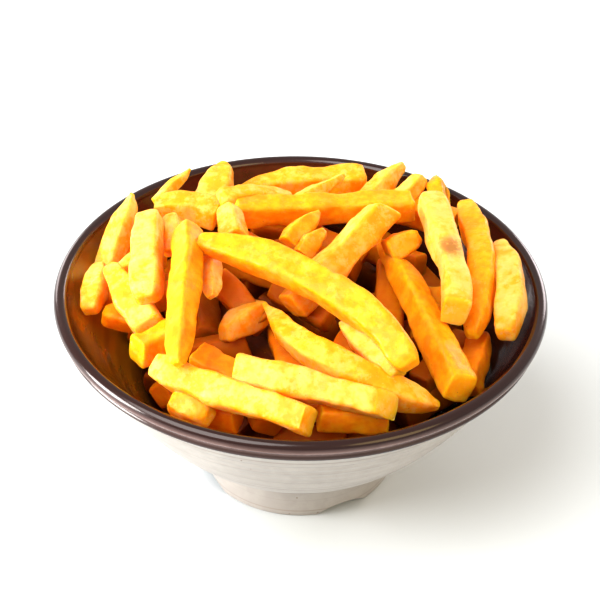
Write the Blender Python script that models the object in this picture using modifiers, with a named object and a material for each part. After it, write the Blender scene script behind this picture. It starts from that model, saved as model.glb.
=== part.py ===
"""A heaped portion of thick-cut french fries in a footed stoneware noodle bowl.

Two solids that do not move: the bowl, turned on the wheel with a beaded glaze band and a notched foot
ring, and the heap of fries, one solid out to its uneven outline. +Z is up, the origin is the centre of
the foot on the table, and the measures below are millimetres.
"""
import math

import bmesh
import bpy
from mathutils import Matrix, Vector

MM = 0.001

# ---- driving dimensions ---------------------------------------------------------------------------
RIM_RADIUS = 80.0
RIM_HEIGHT = 72.0
LIP_RADIUS = 2.2          # the rolled lip, seen in section
BAND_HEIGHT = 8.5         # dark glaze band, from the crown of the lip down
BAND_STEP = 0.5           # how far the band stands proud of the belly below it
BAND_WAIST = (78.7, 67.6)  # radius and height of the groove under the lip
BAND_BEAD = (78.6, 66.2)  # and of the low bead under the groove
BELLY_TOP_RADIUS = 75.0
BELLY_PULL = (52.5, 22.5)  # the belly bows towards this radius and height
BELLY_STEPS = 9
FOOT_HEIGHT = 15.0
FOOT_TOP_RADIUS = 35.0
FOOT_WAIST = (34.0, 12.0)
FOOT_RADIUS = 33.3
FOOT_CHAMFER = 0.8
FOOT_RING_WIDTH = 4.6
RECESS_DEPTH = 5.5
RECESS_FILLET = 2.0
FLOOR_HEIGHT = 11.0       # inside floor of the bowl
FLOOR_PULL_RADIUS = 42.0  # the inside bows out from the floor towards this radius
WALL_TOP_RADIUS = 71.4    # inside wall just under the lip
WALL_TOP_DROP = 8.0       # and how far under the rim that is

NOTCH_COUNT = 4
NOTCH_WIDTH = 19.0
NOTCH_HEIGHT = 3.2
NOTCH_TURN = 28.0         # degrees from the front (-Y) towards +X to the first notch
NOTCH_LENGTH = 20.0       # the cutter reaches through the ring on both sides
NOTCH_FACETS = 56

TURNS = 64                # facets round the bowl
GAP = 0.35                # air between the heap and the bowl
ROOM_HEIGHT = 45.0        # the heap may rise this far over the rim

# ---- the fries: x, y and height over the rim of points on each centre line ---------------------------
# name, width, depth, roll in degrees, shape of the two ends, points
FRIES = (
    ("top_long", 10.0, 9.5, 0, "blunt", "blunt", ((-33, -7, 19), (0, -20, 18), (22, -37, 15), (37, -52, 9))),
    ("top_under", 8.5, 8.5, 0, "cut", "blunt", ((10, -25, 6), (30, -46, 5))),
    ("top_stub", 7.5, 7.5, 40, "point", "cut", ((-25, 28, 12), (-22, 11, 8))),
    ("middle_thick", 9.5, 9.5, 35, "cut", "cut", ((27, 18, 16), (-3, -15, 0))),
    ("middle_stub", 9.0, 8.5, 0, "blunt", "cut", ((37, 16, 10), (29, 16, 8))),
    ("middle_point_a", 6.5, 6.5, 45, "point", "cut", ((5, 28, 11), (-5, 14, 6))),
    ("middle_point_b", 6.5, 6.5, 45, "point", "cut", ((6, 18, 10), (0, 10, 4))),
    ("back_long", 9.0, 9.0, 0, "cut", "cut", ((-24, 29, 7), (37, 38, 5))),
    ("back_taper", 8.0, 7.5, 0, "blunt", "point", ((-29, 36, 8), (-4, 46, 4))),
    ("back_left_short", 9.0, 8.5, 0, "blunt", "cut", ((-48, 36, 6), (-32, 40, 1))),
    ("back_left_point", 7.0, 7.0, 20, "point", "cut", ((-40, 60, 5), (-47, 42, -1))),
    ("back_left_tip", 9.5, 9.0, 30, "point", "cut", ((-28, 67, 5), (-33, 49, -2))),
    ("rear_long", 9.0, 8.5, 0, "point", "cut", ((-22, 60, 0), (22, 63, 0))),
    ("rear_sliver", 6.0, 6.0, 30, "point", "cut", ((13, 55, 8), (1, 44, 5))),
    ("back_right_point", 8.0, 8.0, 30, "point", "cut", ((34, 66, 6), (22, 49, 1))),
    ("back_right_pale", 7.5, 7.5, 20, "blunt", "cut", ((42, 59, 6), (34, 50, 3))),
    ("back_right_tip", 6.0, 6.0, 30, "point", "cut", ((46, 60, 5), (47, 48, 2))),
    ("rim_crumb", 3.5, 3.5, 0, "point", "point", ((48, 56, 2), (51, 49, 1))),
    ("left_wall_point", 8.0, 8.0, 45, "point", "cut", ((-58, 36, 11), (-62, 18, -4))),
    ("left_block", 9.5, 9.0, -15, "blunt", "blunt", ((-51, 19, 13), (-47, -22, 8))),
    ("left_long", 8.0, 8.0, 45, "blunt", "point", ((-37, 12, 15), (-36, -24, 10), (-35, -53, 7))),
    ("left_stub", 7.0, 7.0, 20, "blunt", "cut", ((-43, 20, 12), (-41, 15, 6))),
    ("left_cross", 7.0, 7.0, 0, "point", "cut", ((-61, 6, 1), (-46, 17, -2))),
    ("left_lean", 9.0, 9.0, 20, "blunt", "blunt", ((-63, -4, 6), (-56, -20, 3))),
    ("left_rim", 8.5, 8.5, 0, "blunt", "blunt", ((-66, 13, -5), (-68, -8, -4))),
    ("left_chunk", 9.0, 9.0, 0, "cut", "cut", ((-42, -28, 1), (-50, -35, -1))),
    ("gap_drop", 5.5, 5.5, 30, "blunt", "blunt", ((-27, 3, 5), (-28, -16, 3))),
    ("gap_end", 9.5, 9.0, 0, "cut", "blunt", ((-16, -10, -7), (-23, -22, -6))),
    ("gap_bar", 9.0, 9.0, 0, "cut", "cut", ((-32, -34, -4), (-18, -43, -5))),
    ("right_pale", 9.5, 9.5, -10, "blunt", "cut", ((43, 35, 12), (46, 8, 11), (48, -26, 9))),
    ("right_tan", 8.5, 8.5, 20, "blunt", "blunt", ((56, 44, 3), (58, 3, 4), (54, -23, -3))),
    ("right_edge", 9.0, 9.0, 25, "blunt", "blunt", ((66, 22, 3), (68, -5, 3), (66, -22, -3))),
    ("right_deep", 9.5, 9.0, 20, "cut", "cut", ((30, 23, 0), (40, -21, 2), (48, -46, -3))),
    ("front_points", 9.5, 9.0, -20, "point", "point", ((-11, -20, 6), (11, -43, 3), (43, -54, -4))),
    ("front_right", 9.0, 8.5, -15, "cut", "cut", ((-19, -52, 6), (27, -63, 2))),
    ("front_left", 9.0, 8.5, -15, "cut", "cut", ((-35, -56, 4), (4, -70, 1))),
    ("front_post", 7.5, 7.5, 0, "cut", "cut", ((-41, -41, 2), (-41, -50, -2))),
    ("front_left_stub", 8.0, 7.5, 0, "cut", "cut", ((-36, -57, -4), (-28, -60, -5))),
    ("front_shade", 8.5, 8.5, 0, "cut", "cut", ((8, -58, -6), (26, -57, -7))),
    ("under_left", 9.0, 9.0, 0, "cut", "cut", ((-67, 4, -9), (-46, 8, -7))),
    ("under_left_back", 9.0, 9.0, 0, "cut", "cut", ((-63, 20, -7), (-46, 45, -8))),
    ("under_left_front", 8.5, 8.5, 0, "cut", "cut", ((-65, -12, -3), (-44, -20, -2))),
    ("under_left_block", 9.0, 9.0, 0, "cut", "cut", ((-53, -4, 1.5), (-36, 0, 0))),
    ("under_front_post", 8.5, 8.5, 0, "cut", "cut", ((-43, -47, -9), (-24, -50, -9))),
    ("under_rear", 9.0, 9.0, 0, "cut", "cut", ((-34, 54, -8), (26, 57, -8))),
    ("under_right_back", 9.0, 9.0, 0, "cut", "cut", ((24, 56, -3), (53, 41, -3))),
)
# how far back from its end a fry starts to taper, and what is left of its section at the end
END_SHAPES = {"cut": (0.5, 1.0), "blunt": (3.0, 0.72), "point": (18.0, 0.25)}
# radius and height over the rim of the packed fries that carry the ones on top
CORE_CROWN = ((0.0, 9.0), (28.0, 9.0), (44.0, 5.0), (52.0, -3.0), (55.0, -14.0), (61.0, -30.0))
CORE_FOOT_RADIUS = 40.0
CORE_DIP = 2.0            # the core starts this far under the floor and is then cut to fit the bowl
CORE_TURNS = 40
FRY_CUTS = 4              # stations cut across a bent or pointed fry
LOOK_AHEAD = 0.02         # share of a fry over which its direction is measured


# ---- helpers ----------------------------------------------------------------------------------------
def clear_scene():
    for thing in list(bpy.data.objects):
        bpy.data.objects.remove(thing, do_unlink=True)


def make_collection(name):
    collection = bpy.data.collections.new(name)
    bpy.context.scene.collection.children.link(collection)
    return collection


def make_material(name, colour, roughness):
    material = bpy.data.materials.new(name)
    material.use_nodes = True
    shader = material.node_tree.nodes["Principled BSDF"]
    shader.inputs["Base Color"].default_value = (*colour, 1.0)
    shader.inputs["Roughness"].default_value = roughness
    shader.inputs["Metallic"].default_value = 0.0
    return material


def arc(centre, radius, start, end, steps):
    """Points on a circle from one angle to another, in degrees anticlockwise from +radius."""
    angles = [math.radians(start + (end - start) * i / steps) for i in range(steps + 1)]
    return [(centre[0] + radius * math.cos(a), centre[1] + radius * math.sin(a)) for a in angles]


def bowed(start, pull, end, steps):
    """A quadratic Bezier from start to end, drawn towards pull."""
    points = []
    for i in range(steps + 1):
        t = i / steps
        weights = ((1 - t) ** 2, 2 * t * (1 - t), t ** 2)
        points.append(tuple(sum(w * p[axis] for w, p in zip(weights, (start, pull, end))) for axis in (0, 1)))
    return points


def turned(name, profile, steps, collection):
    """A solid of revolution from a profile of (radius, height) that runs down its outer side."""
    mesh = bpy.data.meshes.new(name)
    vertices = [(radius * MM, 0.0, height * MM) for radius, height in profile]
    mesh.from_pydata(vertices, [(i, i + 1) for i in range(len(vertices) - 1)], [])
    thing = bpy.data.objects.new(name, mesh)
    collection.objects.link(thing)
    screw = thing.modifiers.new("turn", "SCREW")
    screw.axis = "Z"
    screw.angle = math.tau
    screw.steps = steps
    screw.render_steps = steps
    screw.use_merge_vertices = True
    screw.merge_threshold = 0.00005
    return thing


def as_cutter(thing):
    thing.hide_render = True
    thing.display_type = "WIRE"
    return thing


# ---- the bowl -----------------------------------------------------------------------------------------
def inner_wall(inset=0.0):
    """The inside of the bowl from the middle of its floor up to the lip, moved inwards by inset."""
    floor = (0.0, FLOOR_HEIGHT + inset)
    pull = (FLOOR_PULL_RADIUS - 0.6 * inset, FLOOR_HEIGHT + inset)
    top = (WALL_TOP_RADIUS - inset, RIM_HEIGHT - WALL_TOP_DROP + 0.5 * inset)
    return bowed(floor, pull, top, BELLY_STEPS)


def bowl_profile():
    lip_centre = (RIM_RADIUS - LIP_RADIUS, RIM_HEIGHT - LIP_RADIUS)
    band_foot = RIM_HEIGHT - BAND_HEIGHT
    lip = arc(lip_centre, LIP_RADIUS, 180.0, -30.0, 7)
    band = [BAND_WAIST, BAND_BEAD, (BELLY_TOP_RADIUS + BAND_STEP, band_foot + 0.2)]
    belly = bowed((BELLY_TOP_RADIUS, band_foot), BELLY_PULL, (FOOT_TOP_RADIUS, FOOT_HEIGHT), BELLY_STEPS)
    foot = [FOOT_WAIST, (FOOT_RADIUS, FOOT_CHAMFER), (FOOT_RADIUS - FOOT_CHAMFER, 0.0)]
    ring_inside = FOOT_RADIUS - FOOT_RING_WIDTH
    recess = [(ring_inside, 0.0), (ring_inside - FOOT_CHAMFER, RECESS_DEPTH - 0.3 * RECESS_FILLET),
              (ring_inside - RECESS_FILLET, RECESS_DEPTH), (0.0, RECESS_DEPTH)]
    return inner_wall() + lip + band + belly + foot + recess


def notch_cutter(number, collection):
    """A cylinder lying along a radius under the foot, whose top shaves an arch out of the ring."""
    half = NOTCH_WIDTH / 2
    radius = (half ** 2 + NOTCH_HEIGHT ** 2) / (2 * NOTCH_HEIGHT)
    mesh = bpy.data.meshes.new("notch_cutter_%d" % number)
    form = bmesh.new()
    bmesh.ops.create_cone(form, cap_ends=True, segments=NOTCH_FACETS, radius1=radius * MM,
                          radius2=radius * MM, depth=NOTCH_LENGTH * MM)
    form.to_mesh(mesh)
    form.free()
    cutter = bpy.data.objects.new(mesh.name, mesh)
    collection.objects.link(cutter)
    turn = math.radians(-90.0 + NOTCH_TURN + number * 360.0 / NOTCH_COUNT)
    cutter.matrix_world = (Matrix.Rotation(turn, 4, "Z")
                           @ Matrix.Translation(Vector((FOOT_RADIUS, 0.0, NOTCH_HEIGHT - radius)) * MM)
                           @ Matrix.Rotation(math.radians(90.0), 4, "Y"))
    return as_cutter(cutter)


def make_bowl(parts, cutters):
    bowl = turned("bowl", bowl_profile(), TURNS, parts)
    for number in range(NOTCH_COUNT):
        notch = bowl.modifiers.new("notch_%d" % number, "BOOLEAN")
        notch.operation = "DIFFERENCE"
        notch.solver = "EXACT"
        notch.object = notch_cutter(number, cutters)
    bowl.data.materials.append(make_material("glazed_stoneware", (0.62, 0.58, 0.52), 0.35))
    return bowl


# ---- the heap -------------------------------------------------------------------------------------------
def along(points, share):
    """A point on the smooth curve through the given points, at a share of 0 to 1 of its spans."""
    spans = len(points) - 1
    span = min(int(share * spans), spans - 1)
    t = share * spans - span
    here, there = points[span], points[span + 1]
    before = points[span - 1] if span > 0 else here * 2 - there
    after = points[span + 2] if span + 2 <= spans else there * 2 - here
    return 0.5 * (here * 2 + (there - before) * t + (before * 2 - here * 5 + there * 4 - after) * t ** 2
                  + (here * 3 - before - there * 3 + after) * t ** 3)


def end_scale(distance, shape):
    reach, left = END_SHAPES[shape]
    return left + (1.0 - left) * min(1.0, distance / reach)


def make_fry(name, width, depth, roll, start, end, points, collection):
    """A square-sawn stick: a box cut into stations that follow the centre line, tapered at its ends."""
    points = [Vector((x, y, RIM_HEIGHT + z)) for x, y, z in points]
    length = sum((b - a).length for a, b in zip(points, points[1:]))
    cuts = 1 if len(points) == 2 and "point" not in (start, end) else FRY_CUTS
    form = bmesh.new()
    bmesh.ops.create_cube(form, size=1.0)
    sides = [edge for edge in form.edges if abs(edge.verts[0].co.x - edge.verts[1].co.x) > 0.5]
    bmesh.ops.subdivide_edges(form, edges=sides, cuts=cuts, use_grid_fill=True)
    for vertex in form.verts:
        share = vertex.co.x + 0.5
        centre = along(points, share)
        behind = along(points, max(0.0, share - LOOK_AHEAD))
        ahead = (along(points, min(1.0, share + LOOK_AHEAD)) - behind).normalized()
        aside = ahead.cross(Vector((0.0, 0.0, 1.0))).normalized()
        turn = Matrix.Rotation(math.radians(roll), 3, ahead)
        aside = turn @ aside
        upward = aside.cross(ahead)
        scale = min(end_scale(share * length, start), end_scale((1.0 - share) * length, end))
        vertex.co = (centre + aside * vertex.co.y * width * scale + upward * vertex.co.z * depth * scale) * MM
    bmesh.ops.recalc_face_normals(form, faces=form.faces)
    mesh = bpy.data.meshes.new("fry_" + name)
    form.to_mesh(mesh)
    form.free()
    fry = bpy.data.objects.new("fry_" + name, mesh)
    collection.objects.link(fry)
    return as_cutter(fry)


def make_room(collection):
    """The inside of the bowl, less the gap, carried up over the lip: the heap may fill no more."""
    lip_inside = RIM_RADIUS - 2 * LIP_RADIUS - GAP
    over_lip = RIM_HEIGHT + 2 * GAP
    profile = [(0.0, RIM_HEIGHT + ROOM_HEIGHT), (RIM_RADIUS - GAP, RIM_HEIGHT + ROOM_HEIGHT),
               (RIM_RADIUS - GAP, over_lip), (RIM_RADIUS - 4.0, over_lip), (lip_inside, RIM_HEIGHT - 1.0)]
    profile += list(reversed(inner_wall(GAP)))
    return as_cutter(turned("bowl_room", profile, TURNS, collection))


def make_heap(parts, cutters):
    crown = [(radius, RIM_HEIGHT + height) for radius, height in CORE_CROWN]
    foot = [(CORE_FOOT_RADIUS, FLOOR_HEIGHT - CORE_DIP), (0.0, FLOOR_HEIGHT - CORE_DIP)]
    heap = turned("fries_heap", crown + foot, CORE_TURNS, parts)
    fries = make_collection("fries")
    for row in FRIES:
        make_fry(*row, fries)
    join = heap.modifiers.new("join_fries", "BOOLEAN")
    join.operation = "UNION"
    join.solver = "EXACT"
    join.operand_type = "COLLECTION"
    join.collection = fries
    fit = heap.modifiers.new("fit_in_bowl", "BOOLEAN")
    fit.operation = "INTERSECT"
    fit.solver = "EXACT"
    fit.object = make_room(cutters)
    heap.data.materials.append(make_material("fried_potato", (0.80, 0.52, 0.10), 0.5))
    return heap


def main():
    clear_scene()
    parts = make_collection("french_fries_portion")
    cutters = make_collection("cutters")
    make_bowl(parts, cutters)
    make_heap(parts, cutters)


main()
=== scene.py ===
# %% [markdown]
# # A bowl of thick-cut fries
#
# A lesson in Blender scripting. The real thing is a heap of thick-cut potato fries, still glistening, in a
# footed stoneware noodle bowl: off-white and ribbed outside, glossy dark brown inside and over the lip.
#
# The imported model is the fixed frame: it says how wide and how high the bowl is and how far the heap rises.
# This script dresses that frame. The bowl is turned again with its fine grooves, and the solid heap gives way
# to single fries, each one sawn, cooked, bent and browned. Everything is in metres, and MM turns the
# millimetres of a cook or a potter into them.

# %% Load the frame
import math
import random

import bpy
from mathutils import Matrix, Vector


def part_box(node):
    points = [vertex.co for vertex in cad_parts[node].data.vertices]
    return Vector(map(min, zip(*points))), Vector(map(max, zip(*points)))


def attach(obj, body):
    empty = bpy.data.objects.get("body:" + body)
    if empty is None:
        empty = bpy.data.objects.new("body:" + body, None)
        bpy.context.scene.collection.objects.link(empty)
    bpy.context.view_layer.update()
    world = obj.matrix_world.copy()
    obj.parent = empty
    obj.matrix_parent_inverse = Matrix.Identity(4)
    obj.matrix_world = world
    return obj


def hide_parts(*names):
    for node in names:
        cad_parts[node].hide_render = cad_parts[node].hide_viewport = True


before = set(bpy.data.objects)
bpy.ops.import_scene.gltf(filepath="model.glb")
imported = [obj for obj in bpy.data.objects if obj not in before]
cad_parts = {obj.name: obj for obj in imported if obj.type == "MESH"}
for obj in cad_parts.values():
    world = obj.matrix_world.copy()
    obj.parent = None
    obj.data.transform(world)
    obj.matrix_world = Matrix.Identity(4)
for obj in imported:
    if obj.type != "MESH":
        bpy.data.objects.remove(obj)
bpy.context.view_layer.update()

MM = 0.001
bowl_low, bowl_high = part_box("bowl")
heap_low, heap_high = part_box("fries_heap")
RIM_RADIUS = bowl_high.x
RIM_HEIGHT = bowl_high.z
print("rim radius %.1f mm, rim height %.1f mm" % (RIM_RADIUS / MM, RIM_HEIGHT / MM))
print("the heap rises %.1f mm over the rim" % ((heap_high.z - RIM_HEIGHT) / MM))

# %% [markdown]
# ## Small helpers
#
# Blender's operators act on whatever is selected, so a script that models by hand keeps a tidy selection. The
# frame's own nodes are selected just after loading, and a change meant for a new piece would reach them too.
# These helpers clear the selection, step into edit mode and back, and pick points by their place, which is
# how a script clicks on things.

# %% Selection and edit mode
def only(*things):
    """Leaves just these objects selected, with the first one active, or selects nothing at all."""
    if bpy.context.mode != "OBJECT":
        bpy.ops.object.mode_set(mode="OBJECT")
    bpy.ops.object.select_all(action="DESELECT")
    for thing in things:
        thing.select_set(True)
        bpy.context.view_layer.objects.active = things[0]


def set_all(thing, **settings):
    """Sets several properties of a thing, and gives it back."""
    for key, value in settings.items():
        setattr(thing, key, value)
    return thing


def edit(thing):
    """Opens the object in edit mode with all of its points selected."""
    only(thing)
    bpy.ops.object.mode_set(mode="EDIT")
    bpy.ops.mesh.select_mode(type="VERT")
    bpy.ops.mesh.select_all(action="SELECT")


def object_mode():
    bpy.ops.object.mode_set(mode="OBJECT")


def pick(thing, test):
    """Selects the points of the object in edit mode that pass a test on their place."""
    bpy.ops.mesh.select_all(action="DESELECT")
    object_mode()
    for vertex in thing.data.vertices:
        vertex.select = test(vertex.co)
    bpy.ops.object.mode_set(mode="EDIT")


def apply_all(thing):
    only(thing)
    for modifier in list(thing.modifiers):
        bpy.ops.object.modifier_apply(modifier=modifier.name)


def place(thing):
    """Moves the object's place, turn and size into its mesh."""
    only(thing)
    bpy.ops.object.transform_apply(location=True, rotation=True, scale=True)


def new_object(name, data):
    thing = bpy.data.objects.new(name, data)
    bpy.context.collection.objects.link(thing)
    return thing


def copy_of(thing, name):
    """A copy with its own mesh."""
    mesh = thing.data.copy()
    mesh.name = name
    return new_object(name, mesh)


def weld(thing, distance):
    """Merges doubles and turns every face outwards."""
    edit(thing)
    bpy.ops.mesh.remove_doubles(threshold=distance)
    bpy.ops.mesh.normals_make_consistent(inside=False)
    object_mode()


# %% [markdown]
# ## The camera
#
# A bowl of food is usually shown from the height of a seated guest, a little over half a metre away, through
# a long lens that keeps the round rim from bulging. The camera aims at a point on the plane of the rim, just
# in front of the bowl's middle, and leans very slightly to one side as a hand-held camera does.

# %% Camera
CAMERA_AIM = Vector((-0.2, -9.0, 72.0)) * MM
CAMERA_DISTANCE = 550.0 * MM
CAMERA_RISE = math.radians(36.55)
CAMERA_LEAN = math.radians(1.2)
CAMERA_LENS = 102.9       # focal length in mm, on a sensor 36 mm wide

camera_data = set_all(bpy.data.cameras.new("camera"), lens=CAMERA_LENS, sensor_width=36.0)
camera = new_object("camera", camera_data)
camera_place = CAMERA_AIM + CAMERA_DISTANCE * Vector((0.0, -math.cos(CAMERA_RISE), math.sin(CAMERA_RISE)))
camera.matrix_world = (Matrix.Translation(camera_place)
                       @ Matrix.Rotation(math.pi / 2 - CAMERA_RISE, 4, "X")
                       @ Matrix.Rotation(CAMERA_LEAN, 4, "Z"))
bpy.context.scene.camera = camera
print("camera %.0f mm from the rim, %.1f degrees up" % (CAMERA_DISTANCE / MM, math.degrees(CAMERA_RISE)))

# %% [markdown]
# ## The outline of the bowl
#
# A thrown bowl is round, so all of its shape is in one outline: half of a slice through it. The outline
# starts in the middle of the floor, climbs the inside, goes over the rolled lip and comes down the outside
# over a small bead, a step where the dark glaze ends, and the faint ribs that the potter's fingers leave.
# The long sweeps are Bezier curves with one control point each, and the lip and the bead are arcs.

# %% Bowl outline
LIP_RADIUS = 2.2
BAND_FOOT = 63.6          # height at which the dark glaze ends
BEAD_RADIUS = 0.95
BELLY_TOP = (75.1, BAND_FOOT - 0.5)
FOOT_TOP = (35.0, 15.0)
FOOT_RADIUS = 33.3
RING_INSIDE = 28.7
RECESS = 5.5
FLOOR = 11.0
INSIDE_RIBS = (0.10, 7.0, 12.0)     # depth, spacing and the length over which they fade at the ends
OUTSIDE_RIBS = (0.24, 4.6, 3.0)


def arc(centre, radius, start, end, steps):
    """Points round a circle between two angles in degrees."""
    angles = [math.radians(start + (end - start) * i / steps) for i in range(steps + 1)]
    return [(centre[0] + radius * math.cos(a), centre[1] + radius * math.sin(a)) for a in angles]


def bowed(start, pull, end, steps):
    """A quadratic Bezier from start to end that leans towards pull."""
    points = []
    for i in range(steps + 1):
        t = i / steps
        weights = ((1 - t) ** 2, 2 * t * (1 - t), t ** 2)
        points.append(tuple(sum(w * p[axis] for w, p in zip(weights, (start, pull, end))) for axis in (0, 1)))
    return points


def ribbed(points, depth, spacing, fade):
    """Throwing ribs: the outline swells and sinks along its length, and the ribs die away at its ends."""
    walked = 0.0
    out = [points[0]]
    total = sum(math.dist(a, b) for a, b in zip(points, points[1:]))
    for before, here, after in zip(points, points[1:], points[2:]):
        walked += math.dist(before, here)
        run = (after[0] - before[0], after[1] - before[1])
        size = math.hypot(*run)
        ease = min(1.0, walked / fade, (total - walked) / fade)
        swell = depth * ease * math.cos(math.tau * walked / spacing)
        out.append((here[0] + swell * run[1] / size, here[1] - swell * run[0] / size))
    return out + [points[-1]]


unit = RIM_RADIUS / (80.0 * MM)
top = RIM_HEIGHT / (MM * unit)
inside = ribbed(bowed((0.0, FLOOR), (42.0, FLOOR), (71.4, top - 8.0), 60), *INSIDE_RIBS)
lip = arc((80.0 - LIP_RADIUS, top - LIP_RADIUS), LIP_RADIUS, 180.0, -40.0, 18)
bead = [(78.75, 68.0), (78.3, 67.3)] + arc((77.75, 65.9), BEAD_RADIUS, 50.0, -60.0, 8)
step = [(77.3, 64.6), (76.2, 63.9), (75.4, BAND_FOOT)]
belly = ribbed(bowed(BELLY_TOP, (52.5, 22.5), FOOT_TOP, 110), *OUTSIDE_RIBS)
foot = (bowed((34.7, 14.2), (33.4, 11.0), (FOOT_RADIUS, 1.0), 10)
        + arc((FOOT_RADIUS - 0.9, 0.9), 0.9, 0.0, -90.0, 5))
recess = [(RING_INSIDE + 0.6, 0.0), (RING_INSIDE, 0.5), (RING_INSIDE - 0.8, RECESS - 0.9),
          (RING_INSIDE - 1.7, RECESS - 0.1), (RING_INSIDE - 3.0, RECESS), (12.0, RECESS), (0.0, RECESS)]
outline = inside + lip + bead + step + belly + foot + recess
print("the outline has %d points" % len(outline))

# %% [markdown]
# ## Turning the bowl
#
# By hand this is a vertex extruded along the outline and spun once round the upright axis. The spin meets
# itself where it started, so the doubles are merged, and a spun shell can come out inside out, so its faces
# are turned outwards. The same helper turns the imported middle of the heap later.
#
# The foot ring of this bowl is notched: shallow arches let air and water out when it is washed and dried
# upside down. Each arch is the top of a cylinder lying across the ring, taken away with a Boolean modifier,
# which cuts as cleanly as a wire through clay.

# %% Turn an outline, and cut the foot
TURNS = 192
NOTCH_COUNT = 4
NOTCH_WIDTH = 19.0
NOTCH_HEIGHT = 3.2
NOTCH_TURN = 28.0


def turn_outline(name, points, steps):
    only()
    bpy.ops.mesh.primitive_plane_add(size=MM)
    thing = bpy.context.object
    thing.name = thing.data.name = name
    edit(thing)
    bpy.ops.mesh.merge(type="CENTER")
    places = [Vector((radius, 0.0, height)) * MM * unit for radius, height in points]
    bpy.ops.transform.translate(value=places[0])
    for here, there in zip(places, places[1:]):
        bpy.ops.mesh.extrude_vertices_move(TRANSFORM_OT_translate={"value": there - here})
    bpy.ops.mesh.select_all(action="SELECT")
    bpy.ops.mesh.spin(steps=steps, angle=math.tau, center=(0, 0, 0), axis=(0, 0, 1))
    object_mode()
    weld(thing, 0.02 * MM)
    return thing


def cut_notch(bowl, number):
    half = NOTCH_WIDTH / 2
    radius = (half ** 2 + NOTCH_HEIGHT ** 2) / (2 * NOTCH_HEIGHT)
    only()
    bpy.ops.mesh.primitive_cylinder_add(vertices=96, radius=radius * MM * unit, depth=20.0 * MM * unit)
    cutter = bpy.context.object
    turn = math.radians(-90.0 + NOTCH_TURN + number * 360.0 / NOTCH_COUNT)
    cutter.matrix_world = (Matrix.Rotation(turn, 4, "Z")
                           @ Matrix.Translation(Vector((FOOT_RADIUS, 0.0, NOTCH_HEIGHT - radius)) * MM * unit)
                           @ Matrix.Rotation(math.pi / 2, 4, "Y"))
    notch = bowl.modifiers.new("notch", "BOOLEAN")
    set_all(notch, operation="DIFFERENCE", solver="EXACT", object=cutter)
    apply_all(bowl)
    bpy.data.objects.remove(cutter)


bowl = turn_outline("bowl_turned", outline, TURNS)
for number in range(NOTCH_COUNT):
    cut_notch(bowl, number)
weld(bowl, 0.01 * MM)
only(bowl)
bpy.ops.object.shade_smooth_by_angle(angle=math.radians(40.0))
print("bowl: %d faces, %.1f mm wide" % (len(bowl.data.polygons), bowl.dimensions.x / MM))

# %% [markdown]
# ## Where the dark glaze is
#
# The bowl was dipped twice. The dark glaze lies inside, over the lip and down to the step, and the pale one
# covers the rest of the outside. The border wanders a little, as liquid does, so it can't be a row of
# faces. Each vertex stores a number instead: how far it lies from the border, walked along the outline in
# millimetres, positive on the dark side. The shader adds a little noise to it before it splits the colours.

# %% Distance from the glaze border
def number_layer(thing, name, values):
    """Stores one number for each vertex under a name that a shader can read."""
    layer = thing.data.attributes.new(name, "FLOAT", "POINT")
    layer.data.foreach_set("value", values)


walked = [0.0]
for here, there in zip(outline, outline[1:]):
    walked.append(walked[-1] + math.dist(here, there))
border = walked[len(inside + lip + bead + step) - 1]
from_border = {}


def over_border(place):
    """Distance from the border at the outline's point nearest to this place."""
    spot = (round(math.hypot(place.x, place.y) / (MM * unit), 2), round(place.z / (MM * unit), 2))
    if spot not in from_border:
        nearest = min(range(len(outline)), key=lambda i: math.dist(outline[i], spot))
        from_border[spot] = max(-20.0, min(60.0, border - walked[nearest]))
    return from_border[spot]


number_layer(bowl, "over_border", [over_border(vertex.co) for vertex in bowl.data.vertices])
print("the glaze border is %.0f mm along the outline" % border)

# %% [markdown]
# ## Shader helpers
#
# A procedural material is a small machine of nodes. These helpers keep the wiring readable: they add a node,
# set its inputs by name, join two sockets, and make the blends, sums and bumps that come up again and again.
# Patterns that more than one material uses are node groups with named inputs, built once and placed where
# they are needed. A group here only puts out masks and values; the shader itself stays in each material.

# %% Node helpers
def add(tree, kind, values=None, **settings):
    node = set_all(tree.nodes.new(kind), **settings)
    for key, value in (values or {}).items():
        node.inputs[key].default_value = value
    return node


def join(tree, source, target):
    tree.links.new(source, target)


def new_group(name, inputs, outputs):
    group = bpy.data.node_groups.new(name, "ShaderNodeTree")
    for label, kind in inputs:
        group.interface.new_socket(label, in_out="INPUT", socket_type=kind)
    for label, kind in outputs:
        group.interface.new_socket(label, in_out="OUTPUT", socket_type=kind)
    return group, group.nodes.new("NodeGroupInput"), group.nodes.new("NodeGroupOutput")


def pattern_of(tree, group, place_out, values):
    """Places a pattern group that reads the place, and gives its output."""
    node = add(tree, "ShaderNodeGroup", values, node_tree=group)
    join(tree, place_out, node.inputs["Place"])
    return node.outputs[0]


def new_material(name):
    material = bpy.data.materials.new(name)
    material.use_nodes = True
    return material, material.node_tree, material.node_tree.nodes["Principled BSDF"]


def stored_number(tree, name):
    """Reads a number that number_layer stored."""
    return add(tree, "ShaderNodeAttribute", attribute_name=name, attribute_type="GEOMETRY").outputs["Fac"]


def blend(tree, mask, first, second):
    """A colour mix. first and second are colours or sockets; mask is a socket."""
    mix = add(tree, "ShaderNodeMix", data_type="RGBA")
    join(tree, mask, mix.inputs["Factor"])
    for socket, value in ((mix.inputs[6], first), (mix.inputs[7], second)):
        if isinstance(value, tuple):
            socket.default_value = (*value, 1.0)
        else:
            join(tree, value, socket)
    return mix.outputs[2]


def between(tree, socket, low, high, new_low=0.0, new_high=1.0, soft=True):
    """Maps a range of a value to another range, with soft or straight sides."""
    values = {"From Min": low, "From Max": high, "To Min": new_low, "To Max": new_high}
    node = add(tree, "ShaderNodeMapRange", values, interpolation_type="SMOOTHSTEP" if soft else "LINEAR")
    join(tree, socket, node.inputs["Value"])
    return node.outputs["Result"]


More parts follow.
